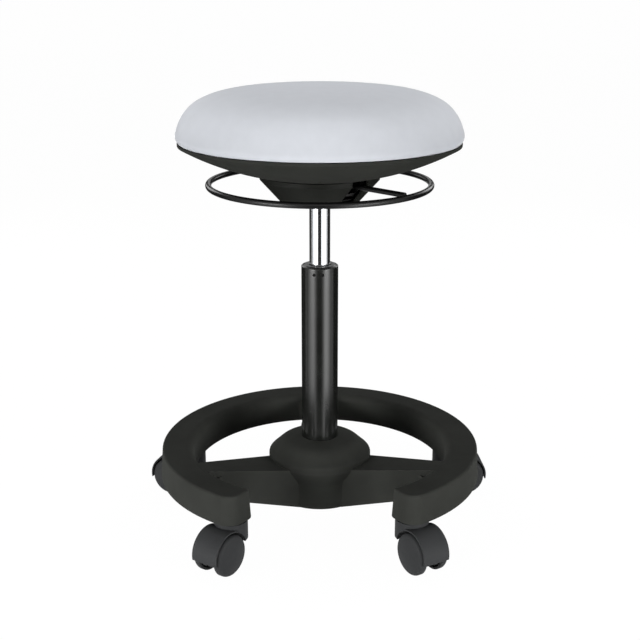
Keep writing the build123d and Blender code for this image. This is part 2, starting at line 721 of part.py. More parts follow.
with BuildPart() as piston:
    with BuildSketch(Plane.XZ) as piston_profile:
        with BuildLine():
            r = TUBE_IN - RUNNING
            Polyline(
                (0, ROD_TOP),
                (r, ROD_TOP),
                (r, ROD_TOP + 8),
                (r - 2, ROD_TOP + 8),
                (r - 2, ROD_TOP + 13),
                (r, ROD_TOP + 13),
                (r, ROD_TOP + PISTON_HEIGHT),
                (0, ROD_TOP + PISTON_HEIGHT),
                close=True,
            )
        make_face()
    revolve(axis=Axis.Z)
save(piston.part, "piston")
with BuildPart() as seal:
    with Locations((0, 0, ROD_TOP + 10.5)):
        Torus(TUBE_IN - RUNNING - 1, 0.95)
save(seal.part, "piston_seal")

# Pressure tube, polished, with the taper that carries the seat
with BuildPart() as tube:
    with BuildSketch(Plane.XZ) as tube_profile:
        with BuildLine():
            Polyline(
                (TUBE_IN, TUBE_BOTTOM),
                (TUBE_R - 0.8, TUBE_BOTTOM),
                (TUBE_R, TUBE_BOTTOM + 0.8),
                (TUBE_R, TAPER_BOTTOM),
                (TAPER_TOP_R, TAPER_TOP),
                (TAPER_TOP_R - TUBE_WALL, TAPER_TOP),
                (TAPER_TOP_R - TUBE_WALL, TAPER_TOP - 24),
                (TUBE_IN, TAPER_TOP - 24),
                close=True,
            )
        make_face()
    revolve(axis=Axis.Z)
save(tube.part, "pressure_tube")
with BuildPart() as gland:
    with BuildSketch(Plane.XY.offset(TUBE_BOTTOM + 1)) as gland_plan:
        Circle(TUBE_IN - PRESSED)
        Circle(ROD_R + RUNNING, mode=Mode.SUBTRACT)
    extrude(amount=24)
save(gland.part, "rod_gland")
with BuildPart() as valve:
    with BuildSketch(Plane.XY.offset(TAPER_TOP - 23)) as valve_plan:
        Circle(TAPER_TOP_R - TUBE_WALL - PRESSED)
        Circle(PIN_R + RUNNING, mode=Mode.SUBTRACT)
    extrude(amount=22)
save(valve.part, "valve_body")
with BuildPart() as pin:
    with BuildSketch(Plane.XZ) as pin_profile:
        with BuildLine():
            Line((0, TAPER_TOP - 16), (PIN_R, TAPER_TOP - 16))
            Line((PIN_R, TAPER_TOP - 16), (PIN_R, PIN_TOP - 1))
            ThreePointArc((PIN_R, PIN_TOP - 1), (0.6 * PIN_R, PIN_TOP - 0.25), (PIN_R / 4, PIN_TOP))
            Polyline((PIN_R / 4, PIN_TOP), (0, PIN_TOP), (0, TAPER_TOP - 16))
        make_face()
    revolve(axis=Axis.Z)
save(pin.part, "valve_pin")

# Deep-drawn steel pan that bolts under the seat board and carries the taper socket
pan_slope = (PAN_TOP_R - PAN_FLOOR_R) / (SHELL_FLOOR - PAN_FLOOR)
release_plane = Plane((0, 0, 0), x_dir=(*polar(1, RELEASE_ANGLE), 0), z_dir=(0, 0, 1))
release_side = Plane(
    (0, 0, 0), x_dir=(*polar(1, RELEASE_ANGLE), 0), z_dir=(*polar(1, RELEASE_ANGLE - 90), 0)
)
with BuildPart() as pan:
    with BuildSketch(Plane.XZ) as pan_profile:
        with BuildLine():
            Polyline(
                (SOCKET_R + PRESSED, PAN_FLOOR),
                (PAN_FLOOR_R, PAN_FLOOR),
                (PAN_TOP_R, SHELL_FLOOR),
                (PAN_TOP_R, FLANGE_BOTTOM),
                (PAN_FLANGE_R, FLANGE_BOTTOM),
                (PAN_FLANGE_R, FLANGE_TOP),
                (PAN_TOP_R - PAN_WALL, FLANGE_TOP),
                (PAN_TOP_R - PAN_WALL, SHELL_FLOOR + 0.6),
                (PAN_FLOOR_R - 1.4, PAN_FLOOR + PAN_WALL),
                (SOCKET_R + PRESSED, PAN_FLOOR + PAN_WALL),
                close=True,
            )
        make_face()
    revolve(axis=Axis.Z)
    with BuildSketch(Plane.XY.offset(FLANGE_BOTTOM - 1)) as bolt_holes:
        with PolarLocations(BOLT_CIRCLE, 4, start_angle=0):
            Circle(BOLT_R + 0.3)
    extrude(amount=PAN_FLANGE + 2, mode=Mode.SUBTRACT)
    with BuildSketch(release_side) as windows:
        with BuildLine():
            front_low = (PIVOT_U + 6, YOKE_LOW - 5)
            front_high = (PAN_TOP_R + 20, SHELL_FLOOR)
            rear_low = (-PAN_TOP_R - 20, PAN_FLOOR - 1)
            rear_high = (-YOKE_BACK + 3, YOKE_HIGH + 1.5)
            Polyline(front_low, (front_high[0], front_low[1]), front_high, (front_low[0], front_high[1]), close=True)
        make_face()
        with BuildLine():
            Polyline(rear_low, (rear_high[0], rear_low[1]), rear_high, (rear_low[0], rear_high[1]), close=True)
        make_face()
    extrude(amount=ARM_ROOM, both=True, mode=Mode.SUBTRACT)
    with BuildSketch(release_side) as lugs:
        with BuildLine():
            Polyline(
                (PIVOT_U - 7, PAN_FLOOR + 1),
                (PIVOT_U + 5.5, PAN_FLOOR + 1),
                (PIVOT_U + 5.5, ARM_Z + 6),
                (PIVOT_U - 7, ARM_Z + 6),
                close=True,
            )
        make_face()
        with Locations((PIVOT_U, ARM_Z)):
            Circle(PIVOT_PIN + PRESSED, mode=Mode.SUBTRACT)
    extrude(amount=LUG_OUT, both=True)
    with BuildSketch(release_side) as between:
        room_in = PIVOT_U - 15
        room_out = PAN_FLOOR_R + PAN_HOLLOW * (PAN_TOP_R - PAN_FLOOR_R)
        with Locations(((room_in + room_out) / 2, ARM_Z)):
            Rectangle(room_out - room_in, 2 * (ARM_Z - PAN_FLOOR - PAN_WALL))
    extrude(amount=LUG_OUT - YOKE_WALL, both=True, mode=Mode.SUBTRACT)
    with BuildSketch(release_plane.offset(PAN_FLOOR - 1)) as cup_holes:
        with Locations((0, CUP_SCREW_CIRCLE), (0, -CUP_SCREW_CIRCLE)):
            Circle(1.8)
    extrude(amount=PAN_WALL + 2, mode=Mode.SUBTRACT)
save(pan.part, "seat_pan")

# Taper socket welded through the floor of the pan
def taper_r(z):
    return TUBE_R + (TAPER_TOP_R - TUBE_R) * (z - TAPER_BOTTOM) / (TAPER_TOP - TAPER_BOTTOM)


with BuildPart() as socket:
    with BuildSketch(Plane.XZ) as socket_profile:
        with BuildLine():
            Polyline(
                (TUBE_R + 0.6, SOCKET_BOTTOM),
                (SOCKET_R, SOCKET_BOTTOM),
                (SOCKET_R, SOCKET_TOP),
                (taper_r(SOCKET_TOP) + PRESSED, SOCKET_TOP),
                (taper_r(TAPER_BOTTOM + 1) + PRESSED, TAPER_BOTTOM + 1),
                (TUBE_R + 0.6, TAPER_BOTTOM + 1),
                close=True,
            )
        make_face()
    revolve(axis=Axis.Z)
save(socket.part, "taper_socket")

# Pivot pin of the release yoke
with BuildPart() as pivot:
    with BuildSketch(release_side) as pivot_side:
        with Locations((PIVOT_U, ARM_Z)):
            Circle(PIVOT_PIN)
    extrude(amount=LUG_OUT + 2, both=True)
save(pivot.part, "release_pivot_pin")

# Folded yoke that straddles the socket and presses the valve pin
cheek_out = YOKE_IN + YOKE_WALL
with BuildPart() as yoke:
    with BuildSketch(release_side) as cheek_side:
        with BuildLine():
            Polyline(
                (-YOKE_BACK, ARM_Z - 2),
                (-YOKE_SPAN - 10, YOKE_LOW),
                (YOKE_FRONT, YOKE_LOW),
                (YOKE_FRONT, YOKE_HIGH),
                (YOKE_SPAN + 10, YOKE_HIGH),
                (YOKE_SPAN, YOKE_TOP + YOKE_WALL),
                (-YOKE_SPAN, YOKE_TOP + YOKE_WALL),
                (-YOKE_SPAN - 10, YOKE_HIGH),
                (-YOKE_BACK, YOKE_HIGH),
                close=True,
            )
        make_face()
    extrude(amount=cheek_out, both=True)
    with BuildSketch(release_side) as yoke_room:
        with BuildLine():
            Polyline(
                (-YOKE_BACK + YOKE_WALL, YOKE_LOW - 9),
                (YOKE_FRONT - YOKE_WALL, YOKE_LOW - 9),
                (YOKE_FRONT - YOKE_WALL, YOKE_HIGH + 1),
                (YOKE_SPAN + 20, YOKE_TOP),
                (-YOKE_SPAN - 20, YOKE_TOP),
                (-YOKE_BACK + YOKE_WALL, YOKE_HIGH + 1),
                close=True,
            )
        make_face()
    extrude(amount=YOKE_IN, both=True, mode=Mode.SUBTRACT)
    with BuildSketch(release_side) as pivot_bore:
        with Locations((PIVOT_U, ARM_Z)):
            Circle(PIVOT_PIN + RUNNING)
    extrude(amount=cheek_out + 1, both=True, mode=Mode.SUBTRACT)
save(yoke.part, "release_yoke")

# Release ring of round wire and the two arms welded between it and the yoke
with BuildPart() as release_ring:
    with Locations((0, 0, RELEASE_Z)):
        Torus(RELEASE_R, RELEASE_WIRE)
save(release_ring.part, "release_ring")
arm_plane = Plane((0, 0, 0), x_dir=(0, 0, 1), z_dir=release_plane.x_dir)
with BuildPart() as arms:
    with BuildSketch(arm_plane) as arm_section:
        with Locations((ARM_Z, 0)):
            Circle(ARM_R)
    extrude(amount=RELEASE_R, both=True)
    with BuildSketch(release_side) as arm_cut:
        with Locations(((YOKE_FRONT - YOKE_BACK) / 2, ARM_Z)):
            Rectangle(YOKE_FRONT + YOKE_BACK, 4 * ARM_R)
    extrude(amount=2 * ARM_R, both=True, mode=Mode.SUBTRACT)
    with Locations((0, 0, RELEASE_Z)):
        Torus(RELEASE_R, RELEASE_WIRE + PRESSED, mode=Mode.SUBTRACT)
save(arms.part, "release_arms")

# Cone-shaped cup that hides the mechanism, slotted for the two release arms
with BuildPart() as cup:
    with BuildSketch(Plane.XZ) as cup_profile:
        with BuildLine():
            Polyline(
                (CUP_HOLE, CUP_FLOOR),
                (CUP_FLOOR_R, CUP_FLOOR),
                (CUP_TOP_R, CUP_BEND),
                (CUP_TOP_R + 0.5, CUP_TOP),
                (CUP_TOP_R + 0.5 - CUP_WALL, CUP_TOP),
                (CUP_TOP_R - CUP_WALL, CUP_BEND + 1),
                (CUP_FLOOR_R - 1, CUP_FLOOR + CUP_WALL),
                (CUP_HOLE, CUP_FLOOR + CUP_WALL),
                close=True,
            )
        make_face()
        fillet(cup_profile.vertices().filter_by(lambda v: abs(v.X - CUP_FLOOR_R) < 0.1), 5)
    revolve(axis=Axis.Z)
    with BuildSketch(release_plane.offset(CUP_FLOOR + 1)) as cup_posts:
        with Locations((0, CUP_SCREW_CIRCLE), (0, -CUP_SCREW_CIRCLE)):
            Circle(4.6)
    extrude(amount=PAN_FLOOR - CUP_FLOOR - 1.1)
    with BuildSketch(release_plane.offset(CUP_FLOOR - 1)) as cup_post_holes:
        with Locations((0, CUP_SCREW_CIRCLE), (0, -CUP_SCREW_CIRCLE)):
            Circle(CUP_SCREW_R + 0.2)
    extrude(amount=PAN_FLOOR - CUP_FLOOR + 2, mode=Mode.SUBTRACT)
    slot_low = CUP_FLOOR + CUP_WALL + 4
    slot_mid = (slot_low + CUP_TOP) / 2 + 2
    for side in (1, -1):
        with BuildSketch(release_side.offset(side * (CUP_SLOT_FAR - CUP_SLOT_NEAR) / 2)) as cup_slot:
            with Locations((side * CUP_TOP_R, slot_mid)):
                Rectangle(2 * (CUP_TOP_R - YOKE_BACK + 4), 2 * (slot_mid - slot_low))
        extrude(amount=(CUP_SLOT_FAR + CUP_SLOT_NEAR) / 2, both=True, mode=Mode.SUBTRACT)
save(cup.part, "mechanism_cup")
with BuildPart() as cup_screws:
    with BuildSketch(release_plane.offset(CUP_FLOOR - 2.2)) as cup_heads:
        with Locations((0, CUP_SCREW_CIRCLE), (0, -CUP_SCREW_CIRCLE)):
            Circle(3.6)
    extrude(amount=2.2)
    chamfer(cup_screws.edges().filter_by_position(Axis.Z, CUP_FLOOR - 2.3, CUP_FLOOR - 2.1), 0.8)
    with BuildSketch(release_plane.offset(CUP_FLOOR - 0.2)) as cup_shanks:
        with Locations((0, CUP_SCREW_CIRCLE), (0, -CUP_SCREW_CIRCLE)):
            Circle(CUP_SCREW_R)
    extrude(amount=PAN_FLOOR + 6 - CUP_FLOOR)
save(cup_screws.part, "cup_screws")

# Dished shell under the pad, with a post for each shell screw
shell_top = SEAM_Z - COVER - 0.2
screw_seat = SHELL_FLOOR + 11
with BuildPart() as shell:
    with BuildSketch(Plane.XZ) as shell_profile:
        with BuildLine():
            rim_low = (SHELL_RIM, shell_top - 4)
            ThreePointArc((SHELL_NECK, SHELL_FLOOR), (SHELL_MID_R, SHELL_FLOOR + SHELL_MID_RISE), rim_low)
            Polyline(
                rim_low,
                (SHELL_RIM, shell_top),
                (SHELL_RIM - SHELL_WALL, shell_top),
                (SHELL_RIM - SHELL_WALL, shell_top - 2.6),
            )
            ThreePointArc(
                (SHELL_RIM - SHELL_WALL, shell_top - 2.6),
                (SHELL_MID_R - 1, SHELL_FLOOR + SHELL_MID_RISE + SHELL_WALL),
                (SHELL_NECK, SHELL_FLOOR + SHELL_WALL),
            )
            Polyline(
                (SHELL_NECK, SHELL_FLOOR + SHELL_WALL),
                (SHELL_OPENING, SHELL_FLOOR + SHELL_WALL),
                (SHELL_OPENING, SHELL_FLOOR),
                (SHELL_NECK, SHELL_FLOOR),
            )
        make_face()
        neck = shell_profile.vertices().filter_by(lambda v: abs(v.X - SHELL_NECK) < 0.1)
        fillet(neck.filter_by(lambda v: v.Y < SHELL_FLOOR + 1), SHELL_BEND)
    revolve(axis=Axis.Z)
    with BuildSketch(Plane.XY.offset(screw_seat - 1)) as shell_posts:
        with PolarLocations(SHELL_SCREW_CIRCLE, 4, start_angle=90):
            Circle(SHELL_SCREW_R + 3.4)
    extrude(amount=SEAM_Z - 0.1 - screw_seat + 1)
    with BuildSketch(Plane.XY.offset(screw_seat)) as shell_post_holes:
        with PolarLocations(SHELL_SCREW_CIRCLE, 4, start_angle=90):
            Circle(SHELL_SCREW_R + 0.2)
    extrude(amount=SEAM_Z - screw_seat + 1, mode=Mode.SUBTRACT)
    with BuildSketch(Plane.XY.offset(screw_seat - 12)) as shell_sinks:
        with PolarLocations(SHELL_SCREW_CIRCLE, 4, start_angle=90):
            Circle(SHELL_SCREW_HEAD + 0.3)
    extrude(amount=12, mode=Mode.SUBTRACT)
save(shell.part, "seat_shell")
with BuildPart() as shell_screws:
    with BuildSketch(Plane.XY.offset(screw_seat - 2.6)) as shell_heads:
        with PolarLocations(SHELL_SCREW_CIRCLE, 4, start_angle=90):
            Circle(SHELL_SCREW_HEAD)
    extrude(amount=2.6)
    chamfer(shell_screws.edges().filter_by_position(Axis.Z, screw_seat - 2.7, screw_seat - 2.5), 0.9)
    with BuildSketch(Plane.XY.offset(screw_seat - 2.8)) as shell_drives:
        with PolarLocations(SHELL_SCREW_CIRCLE, 4, start_angle=90):
            RegularPolygon(1.6, 6)
    extrude(amount=1.6, mode=Mode.SUBTRACT)
    with BuildSketch(Plane.XY.offset(screw_seat - 0.2)) as shell_shanks:
        with PolarLocations(SHELL_SCREW_CIRCLE, 4, start_angle=90):
            Circle(SHELL_SCREW_R)
    extrude(amount=BOARD_TOP - 2.5 - screw_seat)
save(shell_screws.part, "shell_screws")

# Plywood seat board with its tee nuts and the bolts that hold the pan
with BuildPart() as board:
    with BuildSketch(Plane.XY.offset(SEAM_Z)) as board_plan:
        Circle(BOARD_R)
        with PolarLocations(BOLT_CIRCLE, 4, start_angle=0):
            Circle(NUT_R + PRESSED, mode=Mode.SUBTRACT)
        with PolarLocations(SHELL_SCREW_CIRCLE, 4, start_angle=90):
            Circle(SHELL_SCREW_R + PRESSED, mode=Mode.SUBTRACT)
    extrude(amount=BOARD)
    board_edges = board.edges().filter_by_position(Axis.Z, BOARD_TOP - 0.1, BOARD_TOP + 0.1)
    fillet(board_edges.sort_by(SortBy.LENGTH)[-1], 3)
save(board.part, "seat_board")
with BuildPart() as nuts:
    with BuildSketch(Plane.XY.offset(BOARD_TOP)) as nut_flanges:
        with PolarLocations(BOLT_CIRCLE, 4, start_angle=0):
            Circle(9)
    extrude(amount=1.4)
    with BuildSketch(Plane.XY.offset(SEAM_Z + 3)) as nut_barrels:
        with PolarLocations(BOLT_CIRCLE, 4, start_angle=0):
            Circle(NUT_R)
    extrude(amount=BOARD - 3)
    with BuildSketch(Plane.XY.offset(SEAM_Z)) as nut_holes:
        with PolarLocations(BOLT_CIRCLE, 4, start_angle=0):
            Circle(BOLT_R + PRESSED)
    extrude(amount=BOARD + 3, mode=Mode.SUBTRACT)
save(nuts.part, "tee_nuts")
with BuildPart() as bolts:
    with BuildSketch(Plane.XY.offset(FLANGE_BOTTOM - 5.4)) as bolt_heads:
        with PolarLocations(BOLT_CIRCLE, 4, start_angle=0):
            RegularPolygon(7.2, 6)
    extrude(amount=5.3)
    with BuildSketch(Plane.XY.offset(FLANGE_BOTTOM - 0.3)) as bolt_shanks:
        with PolarLocations(BOLT_CIRCLE, 4, start_angle=0):
            Circle(BOLT_R)
    extrude(amount=BOARD_TOP + 1 - FLANGE_BOTTOM)
save(bolts.part, "pan_bolts")

# Pad outline from the seam up the drawn-in side and over the crown
pad_points = [
    (SHELL_RIM - 1.0, SEAM_Z - COVER),
    (SHELL_RIM + 1.9, SEAM_Z + 0.050 * PAD_HEIGHT),
    (SHELL_RIM + 2.2, SEAM_Z + 0.132 * PAD_HEIGHT),
    (SHELL_RIM - 0.8, SEAM_Z + 0.279 * PAD_HEIGHT),
    (SHELL_RIM - 5.7, SEAM_Z + 0.431 * PAD_HEIGHT),
    (SHELL_RIM - 13.0, SEAM_Z + 0.578 * PAD_HEIGHT),
    (SHELL_RIM - 25.2, SEAM_Z + 0.724 * PAD_HEIGHT),
    (SHELL_RIM - 49.0, SEAM_Z + 0.868 * PAD_HEIGHT),
    (SHELL_RIM - 81.0, SEAM_Z + 0.947 * PAD_HEIGHT),
    (SHELL_RIM - 126.0, SEAM_Z + 0.985 * PAD_HEIGHT),
    (10.0, PAD_TOP),
]


def inset(points, depth):
    moved = []
    for k, (r, z) in enumerate(points):
        ahead = points[min(k + 1, len(points) - 1)]
        behind = points[max(k - 1, 0)]
        run = (ahead[0] - behind[0], ahead[1] - behind[1])
        size = hypot(*run)
        moved.append((r - depth * run[1] / size, z + depth * run[0] / size))
    moved[0] = (points[0][0] - depth, SEAM_Z)
    moved[-1] = (points[-1][0], points[-1][1] - depth)
    return moved


cover_inside = inset(pad_points, COVER)
foam_points = inset(pad_points, COVER + PRESSED)
with BuildPart() as seat_cover:
    with BuildSketch(Plane.XZ) as cover_profile:
        with BuildLine():
            Spline(pad_points)
            Polyline(
                pad_points[-1], (0, PAD_TOP), (0, PAD_TOP - COVER), cover_inside[-1]
            )
            Spline(cover_inside)
            Polyline(
                cover_inside[0], (COVER_TUCK, SEAM_Z), (COVER_TUCK, SEAM_Z - COVER), pad_points[0]
            )
        make_face()
    revolve(axis=Axis.Z)
save(seat_cover.part, "seat_cover")
with BuildPart() as foam:
    with BuildSketch(Plane.XZ) as foam_profile:
        with BuildLine():
            Spline(foam_points)
            Polyline(
                foam_points[-1],
                (0, PAD_TOP - COVER - PRESSED),
                (0, BOARD_TOP + PRESSED),
                (BOARD_R + PRESSED, BOARD_TOP + PRESSED),
                (BOARD_R + PRESSED, SEAM_Z + PRESSED),
                (foam_points[0][0], SEAM_Z + PRESSED),
                foam_points[0],
            )
        make_face()
    revolve(axis=Axis.Z)
    with BuildSketch(Plane.XY.offset(BOARD_TOP - 1)) as nut_rooms:
        with PolarLocations(BOLT_CIRCLE, 4, start_angle=0):
            Circle(9.5)
    extrude(amount=4, mode=Mode.SUBTRACT)
save(foam.part, "seat_foam")
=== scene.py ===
# %% [markdown]
# # A low office stool, dressed in Blender
# The solids come from the CAD model and already have their true sizes and places. This lesson gives
# each of them the finish of the real material, makes the upholstered pad as cloth over foam, and sets
# up the camera and the studio. Lengths are in metres, unless a name ends in MM.

# %% Load the stool
import math

import bpy
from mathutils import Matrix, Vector


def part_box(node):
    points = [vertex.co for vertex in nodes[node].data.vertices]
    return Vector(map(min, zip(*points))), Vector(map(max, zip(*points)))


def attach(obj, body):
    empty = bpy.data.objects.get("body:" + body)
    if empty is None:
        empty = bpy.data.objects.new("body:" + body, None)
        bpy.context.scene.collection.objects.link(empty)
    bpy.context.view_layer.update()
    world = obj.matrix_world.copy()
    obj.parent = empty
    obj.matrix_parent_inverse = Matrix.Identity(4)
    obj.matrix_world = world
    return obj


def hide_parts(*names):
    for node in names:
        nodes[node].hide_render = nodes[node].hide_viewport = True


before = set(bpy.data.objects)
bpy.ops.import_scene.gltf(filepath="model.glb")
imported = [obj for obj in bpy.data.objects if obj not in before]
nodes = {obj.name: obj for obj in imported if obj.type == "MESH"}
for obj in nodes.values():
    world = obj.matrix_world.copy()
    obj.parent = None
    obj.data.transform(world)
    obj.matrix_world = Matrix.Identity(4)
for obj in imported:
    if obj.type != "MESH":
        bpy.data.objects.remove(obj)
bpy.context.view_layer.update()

bpy.ops.object.select_all(action="DESELECT")

# %% [markdown]
# ## The camera
# The stool was photographed from a little above the seat with a long lens. A perspective camera with
# the same height, tilt and focal length puts every edge where the photograph has it. The lens has no
# shift and no depth of field, so that other views of the stool stay true.

# %% Camera at the photograph's angle
TILT_DOWN = math.radians(17.11)
TURN = math.radians(-0.8)
DISTANCE = 1.5215
SIDE_STEP = 0.0003
EYE_HEIGHT = 0.7514
SENSOR_MM = 36.0
LENS_MM = 65.36
FAR_CLIP = 50.0
camera_data = bpy.data.cameras.new("product_camera")
camera_data.sensor_width = SENSOR_MM
camera_data.lens = LENS_MM
camera_data.clip_end = FAR_CLIP
camera = bpy.data.objects.new("product_camera", camera_data)
camera.location = (DISTANCE * math.sin(TURN) + SIDE_STEP, -DISTANCE * math.cos(TURN), EYE_HEIGHT)
camera.rotation_euler = (math.pi / 2 - TILT_DOWN, 0.0, TURN)
bpy.context.scene.collection.objects.link(camera)
bpy.context.scene.camera = camera
print("camera", tuple(camera.location), "lens", camera_data.lens)

# %% [markdown]
# ## Helpers for materials
# Colours are written as the sRGB hex values a paint chart would give. Shaders work in linear light,
# so one function converts them. A second function adds a node, sets its values and links its inputs,
# which keeps each material short enough to read as a recipe. Every pattern is sized in millimetres:
# a noise of scale 1 has features about a metre apart, and a wave of scale 1 has bands about a third of
# a metre apart.

# %% Colour and node helpers
MM_PER_M = 1000.0
WAVE_SCALE = MM_PER_M / math.pi
NOISE_LOW, NOISE_HIGH = 0.3, 0.7  # nearly all values of a noise lie between these


def linear(hex_code):
    parts = [int(hex_code[k : k + 2], 16) / 255.0 for k in (1, 3, 5)]
    bright = [c / 12.92 if c <= 0.04045 else ((c + 0.055) / 1.055) ** 2.4 for c in parts]
    return (*bright, 1.0)


def add_node(tree, kind, values=None, links=None):
    made = tree.nodes.new(kind)
    for key, value in (values or {}).items():
        if isinstance(key, str) and hasattr(made, key):
            setattr(made, key, value)
        else:
            made.inputs[key].default_value = value
    for key, source in (links or {}).items():
        tree.links.new(source, made.inputs[key])
    return made


def start_material(name):
    material = bpy.data.materials.new(name)
    material.use_nodes = True
    tree = material.node_tree
    shader = tree.nodes["Principled BSDF"]
    place = add_node(tree, "ShaderNodeTexCoord").outputs["Object"]
    return material, tree, shader, place


def dress(material, *names):
    for name in names:
        slots = nodes[name].data.materials
        slots.clear()
        slots.append(material)


print("charcoal as linear light:", [round(c, 4) for c in linear("#333432")[:3]])

# %% [markdown]
# ## Moulded plastics
# The base is injection-moulded polypropylene. Its mould was spark-eroded, which leaves a fine even
# grain that scatters light, so the plastic looks soft and charcoal rather than shiny black. Noise at
# the grain's size drives a small bump and the gloss, and a much larger noise varies the colour a
# little, as regrind in the plastic does. The grain is about 0.4 mm on the real part and is drawn near
# 1 mm, because finer grain would not show in the picture. The castors are glass-filled nylon, a little
# bluer and shinier. The seat shell and the cup under it are polypropylene too, and the shell is the
# duller of the two. Both are coloured darker than the base, the cup nearly black: this is painted
# shade under the seat.

# %% Plastics of the base, the castors and the seat shell
CLOUD_MM = 45.45
CLOUD_DARK, CLOUD_LIGHT = 0.32, 0.7  # where in the noise the two tints are pure
GRAIN_DEPTH = 0.0002


def moulded_plastic(name, dark, light, rough, grain_mm, relief, gloss):
    material, tree, shader, place = start_material(name)
    cloud = add_node(
        tree, "ShaderNodeTexNoise", {"Scale": MM_PER_M / CLOUD_MM, "Detail": 3.0}, {"Vector": place}
    )
    tint = add_node(tree, "ShaderNodeValToRGB", links={"Fac": cloud.outputs["Fac"]})
    tint.color_ramp.elements[0].position = CLOUD_DARK
    tint.color_ramp.elements[0].color = linear(dark)
    tint.color_ramp.elements[1].position = CLOUD_LIGHT
    tint.color_ramp.elements[1].color = linear(light)
    grain = add_node(
        tree, "ShaderNodeTexNoise", {"Scale": MM_PER_M / grain_mm, "Detail": 2.0}, {"Vector": place}
    )
    polish = add_node(
        tree,
        "ShaderNodeMapRange",
        {"From Min": NOISE_LOW, "From Max": NOISE_HIGH, "To Min": rough - 0.05, "To Max": rough + 0.07},
        {"Value": grain.outputs["Fac"]},
    )
    bump = add_node(
        tree,
        "ShaderNodeBump",
        {"Strength": relief, "Distance": GRAIN_DEPTH},
        {"Height": grain.outputs["Fac"]},
    )
    tree.links.new(tint.outputs["Color"], shader.inputs["Base Color"])
    tree.links.new(polish.outputs["Result"], shader.inputs["Roughness"])
    tree.links.new(bump.outputs["Normal"], shader.inputs["Normal"])
    shader.inputs["IOR"].default_value = 1.49
    shader.inputs["Specular IOR Level"].default_value = gloss
    return material


base_plastic = moulded_plastic(
    "spark_textured_polypropylene", "#353633", "#3b3c39", rough=0.86, grain_mm=1.0, relief=0.3, gloss=0.08
)
castor_plastic = moulded_plastic(
    "glass_filled_nylon", "#323334", "#38393a", rough=0.65, grain_mm=0.8, relief=0.3, gloss=0.15
)
# The shell's colour is a little darker than the base's: painted shade under the seat.
shell_plastic_painted_shade = moulded_plastic(
    "shell_polypropylene_painted_shade", "#2e2f2c", "#333431", rough=0.7, grain_mm=0.9, relief=0.25, gloss=0.03
)
# The cup's near-black colour is painted shade under the seat.
cup_plastic_painted_shade = moulded_plastic(
    "cup_polypropylene_painted_shade", "#161714", "#1b1c19", rough=0.5, grain_mm=0.9, relief=0.25, gloss=0.1
)
bush_plastic = moulded_plastic(
    "acetal", "#161616", "#1b1b1b", rough=0.4, grain_mm=0.8, relief=0.15, gloss=0.4
)
rubber = moulded_plastic(
    "nitrile_rubber", "#131313", "#181818", rough=0.75, grain_mm=1.0, relief=0.3, gloss=0.25
)
CASTORS = ("right", "rear", "left", "front_left", "front_right")
CASTOR_MOULDINGS = ("hood", "wheel_a", "wheel_b")
dress(base_plastic, "base_frame")
dress(castor_plastic, *[f"{name}_castor_{piece}" for name in CASTORS for piece in CASTOR_MOULDINGS])
dress(shell_plastic_painted_shade, "seat_shell")
dress(cup_plastic_painted_shade, "mechanism_cup")
dress(bush_plastic, "guide_bush", "bearing_cage")
dress(rubber, "rubber_bumper", "piston_seal")
print("castor pieces in nylon:", len(CASTORS) * len(CASTOR_MOULDINGS))

# %% [markdown]
# ## Enamelled steel
# The column and the release ring are steel under black enamel. Sprayed enamel never dries quite flat,
# and its faint orange peel breaks up the edges of the reflections: a fine noise bends the surface a
# little, and a broad one varies its gloss. The pan and the yoke under the seat are dipped in the same
# black and are duller.

# %% Enamel of the column, the ring and the pan
HAZE_MM = 33.33
PEEL_DEPTH = 0.0003


def enamelled_steel(name, colour, rough, peel_mm, relief, gloss):
    material, tree, shader, place = start_material(name)
    peel = add_node(
        tree, "ShaderNodeTexNoise", {"Scale": MM_PER_M / peel_mm, "Detail": 1.0}, {"Vector": place}
    )
    bump = add_node(
        tree,
        "ShaderNodeBump",
        {"Strength": relief, "Distance": PEEL_DEPTH},
        {"Height": peel.outputs["Fac"]},
    )
    haze = add_node(
        tree, "ShaderNodeTexNoise", {"Scale": MM_PER_M / HAZE_MM, "Detail": 3.0}, {"Vector": place}
    )
    polish = add_node(
        tree,
        "ShaderNodeMapRange",
        {"From Min": NOISE_LOW, "From Max": NOISE_HIGH, "To Min": rough - 0.03, "To Max": rough + 0.04},
        {"Value": haze.outputs["Fac"]},
    )
    tree.links.new(polish.outputs["Result"], shader.inputs["Roughness"])
    tree.links.new(bump.outputs["Normal"], shader.inputs["Normal"])
    shader.inputs["Base Color"].default_value = linear(colour)
    shader.inputs["IOR"].default_value = 1.5
    shader.inputs["Specular IOR Level"].default_value = gloss
    return material


column_enamel = enamelled_steel(
    "column_enamel", "#121311", rough=0.24, peel_mm=3.0, relief=0.015, gloss=0.5
)
ring_enamel = enamelled_steel("ring_enamel", "#0c0c0c", rough=0.32, peel_mm=2.0, relief=0.03, gloss=0.25)
pan_enamel = enamelled_steel("pan_enamel", "#1a1a1a", rough=0.45, peel_mm=2.0, relief=0.08, gloss=0.4)
dress(column_enamel, "column_tube")
dress(ring_enamel, "release_ring", "release_arms")
dress(pan_enamel, "seat_pan", "taper_socket", "release_yoke")
print("enamels made:", column_enamel.name, ring_enamel.name, pan_enamel.name)
